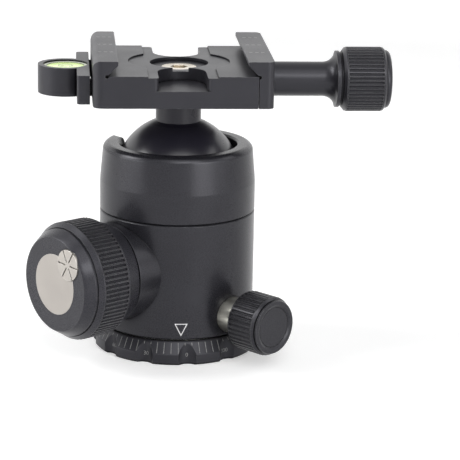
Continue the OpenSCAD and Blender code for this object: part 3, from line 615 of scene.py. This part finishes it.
def threaded_rod(name, origin, axis, start, end, major, pitch):
    """A rod with a V thread between two distances along its axis.

    Rows of points follow the helix, and the two ends are cut square and closed.
    """
    first, second = frame_of(axis)
    bm = bmesh.new()
    rows = []
    for turn in range(-1, int((end - start) / pitch) + 2):
        for share, depth in V_THREAD:
            rows.append((start + (turn + share) * pitch, major - depth * pitch))
    columns = []
    for j in range(THREAD_SIDES + 1):
        angle = 2 * math.pi * j / THREAD_SIDES
        ray = first * math.cos(angle) + second * math.sin(angle)
        shift = pitch * j / THREAD_SIDES
        columns.append([bm.verts.new(origin + axis * (level + shift) + ray * radius)
                        for level, radius in rows])
    for a, b in zip(columns, columns[1:]):
        for i in range(len(rows) - 1):
            bm.faces.new((a[i], b[i], b[i + 1], a[i + 1]))
    bmesh.ops.remove_doubles(bm, verts=bm.verts, dist=WELD)
    for level, sign in ((start, -1), (end, 1)):
        cut = bmesh.ops.bisect_plane(bm, geom=bm.verts[:] + bm.edges[:] + bm.faces[:],
                                     dist=1e-8, plane_co=origin + axis * level,
                                     plane_no=axis * sign, clear_outer=True)
        rim = [e for e in cut["geom_cut"] if isinstance(e, bmesh.types.BMEdge)]
        bmesh.ops.holes_fill(bm, edges=rim, sides=0)
    return close_mesh(bm, name)


def inner_thread(name, radius, pitch, depth, start, end):
    """A ridge that winds up the wall of a hole along Z."""
    steps = int((end - start) / pitch * RIDGE_STEPS)
    bm = bmesh.new()
    rings = []
    for k in range(steps + 1):
        angle = 2 * math.pi * k / RIDGE_STEPS
        level = start + pitch * k / RIDGE_STEPS
        rings.append([bm.verts.new(((radius + outward * depth) * math.cos(angle),
                                    (radius + outward * depth) * math.sin(angle),
                                    level + offset * pitch)) for outward, offset in RIDGE])
    add_bands(bm, rings, closed=False)
    bm.faces.new(rings[0][::-1])
    bm.faces.new(rings[-1])
    return close_mesh(bm, name)


def make_threads():
    """The clamp's screw with its thread, and the thread of the hole for the tripod's screw."""
    start, end = low("clamp_screw"), high("clamp_screw")
    centre = Vector((0, (start.y + end.y) / 2, (start.z + end.z) / 2))
    major = (end.y - start.y) / 2
    rod = threaded_rod("clamp_screw_thread", centre, ALONG_X, start.x, end.x, major, CLAMP_PITCH)
    rod = piece("clamp_screw_thread", rod, clamp_steel, "clamp_knob_body")
    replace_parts(rod, "clamp_screw")
    ridge = inner_thread("tripod_thread_ridge", TRIPOD_THREAD_R, TRIPOD_PITCH, RIDGE_DEPTH,
                         RIDGE_START, RIDGE_END)
    piece("tripod_thread_ridge", ridge, ring_black, "base")


make_threads()


# ---------- Main knob's grip ----------

GRIP_START = 27.8 * MM      # distances from the panning axis
GRIP_END = 35.0 * MM
GRIP_CORE = 14.25 * MM
GRIP_R = 15.0 * MM
GRIP_RIBS = 80
GRIP_GROOVE = 0.36          # half width of a groove, as a share of the ribs' pitch
GRIP_DEEPER = 1.05          # depth of a groove, as a share of its half width
GRIP_LAND = 0.40            # the flat top of a rib begins here, as a share of the pitch
GRIP_SHARES = (-0.5, -0.40, -0.36, -0.30, -0.22, -0.11, 0.0, 0.11, 0.22, 0.30, 0.36, 0.40)
GRIP_SLACK = 0.02 * MM
CORE_SIDES = 180


def axial_mesh(name, axis, outline_inner, outline_outer, start, end):
    """A closed tube along an axis, from two outlines of as many (radius, angle) points."""
    first, second = frame_of(axis)
    origin = Vector((0.0, 0.0, joint_place("main_lock").z))
    bm = bmesh.new()
    loops = []
    for level, outline in ((start, outline_inner), (start, outline_outer),
                           (end, outline_outer), (end, outline_inner)):
        rays = [(first * math.cos(angle) + second * math.sin(angle)) * radius
                for radius, angle in outline]
        loops.append([bm.verts.new(origin + axis * level + ray) for ray in rays])
    add_bands(bm, loops, closed=True)
    return close_mesh(bm, name)


def turned_down_knob():
    """The knob's own mesh with its ribs cut away down to the core."""
    around = [(GRIP_CORE, 2 * math.pi * i / CORE_SIDES) for i in range(CORE_SIDES)]
    outside = [(GRIP_R + 1.0 * MM, angle) for _, angle in around]
    cutter = bpy.data.objects.new("grip_cutter", axial_mesh("grip_cutter", main_axis, around,
                                                            outside, GRIP_START, GRIP_END))
    bpy.context.scene.collection.objects.link(cutter)
    body = bpy.data.objects.new("main_knob_body_turned", nodes["main_knob"].data.copy())
    bpy.context.scene.collection.objects.link(body)
    body.matrix_world = nodes["main_knob"].matrix_world.copy()
    cut = body.modifiers.new("cut", "BOOLEAN")
    cut.operation = "DIFFERENCE"
    cut.solver = "EXACT"
    cut.object = cutter
    depsgraph = bpy.context.evaluated_depsgraph_get()
    turned = bpy.data.meshes.new_from_object(body.evaluated_get(depsgraph))
    turned.transform(body.matrix_world)
    bpy.data.objects.remove(body)
    bpy.data.objects.remove(cutter)
    turned.materials.clear()
    for name in ("custom_normal", "sharp_edge", "sharp_face"):
        if name in turned.attributes:
            turned.attributes.remove(turned.attributes[name])
    turned.shade_smooth()
    turned.set_sharp_from_angle(angle=math.radians(20))
    return turned


def rib_outline():
    """The ribs' outline as (radius, angle): round grooves between tops that are nearly flat."""
    full = 2 * math.pi
    pitch = full * GRIP_R / GRIP_RIBS
    groove = GRIP_GROOVE * pitch
    outline = []
    for i in range(GRIP_RIBS):
        middle = full * i / GRIP_RIBS
        for share in GRIP_SHARES:
            across = min(abs(share) * pitch, groove)
            depth = math.sqrt(max(0.0, groove * groove - across * across)) * GRIP_DEEPER
            if abs(share) >= GRIP_LAND:
                depth = 0.0 if abs(share) == 0.5 else GRIP_SLACK
            outline.append((GRIP_R - depth, middle + full * share / GRIP_RIBS))
    return outline


def make_main_grip():
    """The knob with its ribs turned away, and a sleeve of finer ribs on the core that is left."""
    outline = rib_outline()
    inner = [(GRIP_CORE - GRIP_SLACK, angle) for _, angle in outline]
    for name, mesh in (("main_knob_turned", turned_down_knob()),
                       ("main_knob_grip", axial_mesh("main_knob_grip", main_axis, inner, outline,
                                                     GRIP_START, GRIP_END))):
        thing = piece(name, mesh, main_knob_black, "main_knob_body")
        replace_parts(thing, "main_knob")


make_main_grip()


# ---------- Marks on the jaws ----------

JAW_MARKS = (
    # piece, body, and where its rows lie along X
    ("fixed_jaw_marks", "clamp", (-20.4 * MM, -18.9 * MM, -17.4 * MM)),
    ("moving_jaw_marks", "jaw", (17.6 * MM, 19.1 * MM, 20.6 * MM)),
)
JAW_MARK_Y = (-8.0 * MM, 2.5 * MM, 13.0 * MM)
JAW_DASH = 0.85 * MM
JAW_DASH_WIDTH = 0.34 * MM
JAW_TOP = high("moving_jaw").z


def jaw_top(x, y, lift):
    return Vector((x, y, JAW_TOP + lift))


def make_jaw_marks():
    """Three rows of short dashes on the top of each jaw, as a plain scale."""
    half = JAW_DASH / 2
    for name, body, rows in JAW_MARKS:
        strips = [line_quads((x - half, y), (x + half, y), JAW_DASH_WIDTH, 1)
                  for x in rows for y in JAW_MARK_Y]
        mesh = strip_mesh(name, strips, jaw_top, PRINT / 2)
        piece(name, mesh, faint_print, body)


make_jaw_marks()


# ---------- Level ----------

LEVEL_RING_R = 1.75 * MM
LEVEL_RING_HALF = 0.07 * MM     # half of its width
FLUID_SLACK = 0.04 * MM         # from the fluid to the vial's wall
LENS_SKIN = 0.14 * MM           # from the fluid's top to the lens's
FLUID_BEVEL = 0.08 * MM
BUBBLE_DEPTH = 0.30 * MM
BUBBLE_STEPS = 8


def ring_tube(name, centre, radius, thickness):
    """A thin closed ring that lies level, much lower than it is wide."""
    bm = bmesh.new()
    sides, around = 8, 64
    rings = []
    for k in range(around):
        angle = 2 * math.pi * k / around
        ring = []
        for i in range(sides):
            turn = 2 * math.pi * i / sides
            reach = radius + thickness * math.cos(turn)
            place = Vector((reach * math.cos(angle), reach * math.sin(angle),
                            thickness * 0.3 * math.sin(turn)))
            ring.append(bm.verts.new(centre + place))
        rings.append(ring)
    add_bands(bm, rings, closed=True)
    return close_mesh(bm, name)


def turned_mesh(name, centre, profile, around=72):
    """A closed mesh turned about Z from (radius, height) points that start and end on the axis."""
    bm = bmesh.new()
    first = bm.verts.new(centre + Vector((0, 0, profile[0][1])))
    last = bm.verts.new(centre + Vector((0, 0, profile[-1][1])))
    rings = []
    for k in range(around):
        angle = 2 * math.pi * k / around
        ray = Vector((math.cos(angle), math.sin(angle), 0.0))
        rings.append([bm.verts.new(centre + ray * radius + Vector((0, 0, height)))
                      for radius, height in profile[1:-1]])
    for k in range(around):
        a, b = rings[k], rings[(k + 1) % around]
        bm.faces.new((first, b[0], a[0]))
        for i in range(len(a) - 1):
            bm.faces.new((a[i], b[i], b[i + 1], a[i + 1]))
        bm.faces.new((a[-1], b[-1], last))
    return close_mesh(bm, name)


def make_level():
    """The fluid up to where the lens makes it seem to reach, its bubble, and the printed ring."""
    centre = (low("level_fluid") + high("level_fluid")) / 2
    centre.z = 0.0
    floor_z, lens_z = low("level_fluid").z, high("level_vial").z
    top = lens_z - LENS_SKIN
    edge = FLUID_R - FLUID_SLACK
    profile = [(0.0, floor_z), (edge, floor_z), (edge, top - FLUID_BEVEL),
               (edge - FLUID_BEVEL, top)]
    for i in range(BUBBLE_STEPS):
        turn = math.pi / 2 * i / BUBBLE_STEPS
        profile.append((BUBBLE_R * math.cos(turn), top - BUBBLE_DEPTH * math.sin(turn)))
    profile.append((0.0, top - BUBBLE_DEPTH))
    mesh = turned_mesh("level_fluid_body", centre, profile)
    mesh.shade_smooth()
    mesh.set_sharp_from_angle(angle=math.radians(35))
    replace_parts(piece("level_fluid_body", mesh, fluid, "clamp"), "level_fluid")
    print_place = Vector((centre.x, centre.y, lens_z + 0.01 * MM))
    mesh = ring_tube("level_ring", print_place, LEVEL_RING_R, LEVEL_RING_HALF)
    piece("level_ring", mesh, black_liner, "clamp")


make_level()


# ---------- Camera ----------
# The eye looks a little past +Y and down, and the frame is turned clockwise by about a degree.

FOCAL_PX = 2153.5
FRAME_PX = 460.0
SENSOR_MM = 36.0
DISTANCE = 560 * MM
ELEVATION = math.radians(15.22)
AZIMUTH = math.radians(4.72)
ROLL = math.radians(1.10)
TARGET_SIDE = 13.80 * MM
TARGET_HEIGHT = 30.19 * MM


def make_camera():
    forward = Vector((math.sin(AZIMUTH) * math.cos(ELEVATION),
                      math.cos(AZIMUTH) * math.cos(ELEVATION), -math.sin(ELEVATION)))
    right = Vector((math.cos(AZIMUTH), -math.sin(AZIMUTH), 0.0))
    up = right.cross(forward)
    turned_right = math.cos(ROLL) * right + math.sin(ROLL) * up
    turned_up = -math.sin(ROLL) * right + math.cos(ROLL) * up
    target = right * TARGET_SIDE + Vector((0.0, 0.0, TARGET_HEIGHT))
    data = bpy.data.cameras.new("camera")
    data.sensor_width = SENSOR_MM
    data.lens = FOCAL_PX * data.sensor_width / FRAME_PX
    data.clip_start = 0.01
    data.clip_end = 20.0
    camera = bpy.data.objects.new("camera", data)
    bpy.context.scene.collection.objects.link(camera)
    camera.matrix_world = Matrix.Translation(target - forward * DISTANCE) @ Matrix(
        (turned_right, turned_up, -forward)).transposed().to_4x4()
    bpy.context.scene.camera = camera


make_camera()


# ---------- Light ----------

STUDIO_DIM = 0.0        # light of the unlit studio
SWEEP_LIGHT = 1.25      # light of the white sweep
SWEEP_SIDE = -0.10      # the sweep begins here and is full there, as the Y part of a direction
SWEEP_FULL = 0.55
SWEEP_TOP = 0.50        # it is full up to here and ends there, as the Z part of a direction
SWEEP_OVER = 0.80
FLOOR_HALF = 3.0
FLOOR_GLOW = 0.30       # what the camera, mirrors and glass see on the floor besides its own light
FAR_START = 0.45        # between these distances the floor turns fully white for the camera
FAR_END = 0.9
LAMP_AIM = 0.035        # height of the point that the lamps look at

LAMPS = (
    # name, azimuth, elevation, width, height, radiance
    ("left_high", -90, 35, 0.42, 0.42, 8.8),
    ("left_over", -90, 60, 0.42, 0.40, 1.6),
    ("left_low", -78, 8, 0.76, 0.40, 4.0),
    ("front_high", 12, 34, 0.70, 0.36, 5.6),
    ("front_over", 8, 60, 0.60, 0.40, 1.8),
    ("right_low", 35, 8, 0.52, 0.40, 6.4),
    ("right_side", 62, 8, 0.42, 0.40, 1.6),
    ("right_high", 90, 34, 0.42, 0.40, 1.6),
)


def softbox(name, azimuth, elevation, width, height, radiance):
    """A rectangular lamp a metre away; azimuth 0 is in front of the object, 90 on its right."""
    turn, rise = math.radians(azimuth), math.radians(elevation)
    place = Vector((math.sin(turn) * math.cos(rise), -math.cos(turn) * math.cos(rise),
                    math.sin(rise)))
    data = bpy.data.lights.new(name, "AREA")
    data.shape = "RECTANGLE"
    data.size = width
    data.size_y = height
    data.energy = radiance * math.pi * width * height
    lamp = bpy.data.objects.new(name, data)
    bpy.context.scene.collection.objects.link(lamp)
    lamp.location = place + Vector((0.0, 0.0, LAMP_AIM))
    lamp.rotation_euler = (-place).to_track_quat("-Z", "Y").to_euler()


def make_world():
    """A white sweep behind the object, fading to an unlit studio in front of it.

    That is the world's light on the object; the camera, mirrors and glass see white all round.
    """
    world = bpy.data.worlds.new("studio")
    bpy.context.scene.world = world
    world.use_nodes = True
    tree = world.node_tree
    tree.nodes.clear()

    def add(kind, **settings):
        node = tree.nodes.new(kind)
        for key, value in settings.items():
            setattr(node, key, value)
        return node

    def ramp(value, start, end):
        node = add("ShaderNodeMapRange", interpolation_type="SMOOTHSTEP")
        node.inputs["From Min"].default_value = start
        node.inputs["From Max"].default_value = end
        tree.links.new(value, node.inputs["Value"])
        return node.outputs[0]

    direction = add("ShaderNodeSeparateXYZ")
    tree.links.new(add("ShaderNodeTexCoord").outputs["Generated"], direction.inputs[0])
    behind = ramp(direction.outputs["Y"], SWEEP_SIDE, SWEEP_FULL)
    below = ramp(direction.outputs["Z"], SWEEP_OVER, SWEEP_TOP)
    inside = add("ShaderNodeMath", operation="MULTIPLY")
    tree.links.new(behind, inside.inputs[0])
    tree.links.new(below, inside.inputs[1])
    sweep = add("ShaderNodeMapRange")
    sweep.inputs["To Min"].default_value = STUDIO_DIM
    sweep.inputs["To Max"].default_value = SWEEP_LIGHT
    tree.links.new(inside.outputs[0], sweep.inputs["Value"])
    path = add("ShaderNodeLightPath")
    strength = sweep.outputs[0]
    for ray in ("Is Camera Ray", "Is Transmission Ray", "Is Glossy Ray"):
        most = add("ShaderNodeMath", operation="MAXIMUM")
        tree.links.new(strength, most.inputs[0])
        tree.links.new(path.outputs[ray], most.inputs[1])
        strength = most.outputs[0]
    background = add("ShaderNodeBackground")
    background.inputs["Color"].default_value = rgb(1.0, 1.0, 1.0)
    tree.links.new(strength, background.inputs["Strength"])
    tree.links.new(background.outputs[0], add("ShaderNodeOutputWorld").inputs["Surface"])


def make_floor():
    """A pale floor that keeps a soft shadow.

    The camera, mirrors and glass see it a little brighter than its light makes it, and the
    camera sees its far end white.
    """
    n = Nodes("floor_white")
    mottle = n.noise(40.0, 2.0)
    tint = n.mix(n.spread(mottle), rgb(0.90, 0.90, 0.90), rgb(0.93, 0.93, 0.93))
    path = n.add("ShaderNodeLightPath")
    camera, mirror, glass = (path.outputs["Is Camera Ray"], path.outputs["Is Glossy Ray"],
                             path.outputs["Is Transmission Ray"])
    seen = n.math("MAXIMUM", camera, n.math("MAXIMUM", mirror, glass))
    _, reach = along(n, Vector((0, 0, 0)), UP)
    far = n.math("MULTIPLY", camera, n.remap(reach, FAR_START, FAR_END, 0.0, 1.0 - FLOOR_GLOW))
    n.shader(Base_Color=tint, Roughness=0.7, Emission_Color=rgb(1.0, 1.0, 1.0),
             Emission_Strength=n.math("ADD", n.math("MULTIPLY", seen, FLOOR_GLOW), far))
    mesh = bpy.data.meshes.new("floor")
    half = FLOOR_HALF
    corners = [(-half, -half, 0), (half, -half, 0), (half, half, 0), (-half, half, 0)]
    mesh.from_pydata(corners, [], [(0, 1, 2, 3)])
    mesh.materials.append(n.material)
    floor = bpy.data.objects.new("floor", mesh)
    bpy.context.scene.collection.objects.link(floor)


make_world()
make_floor()
for lamp in LAMPS:
    softbox(*lamp)

bpy.context.scene.view_settings.view_transform = "Standard"
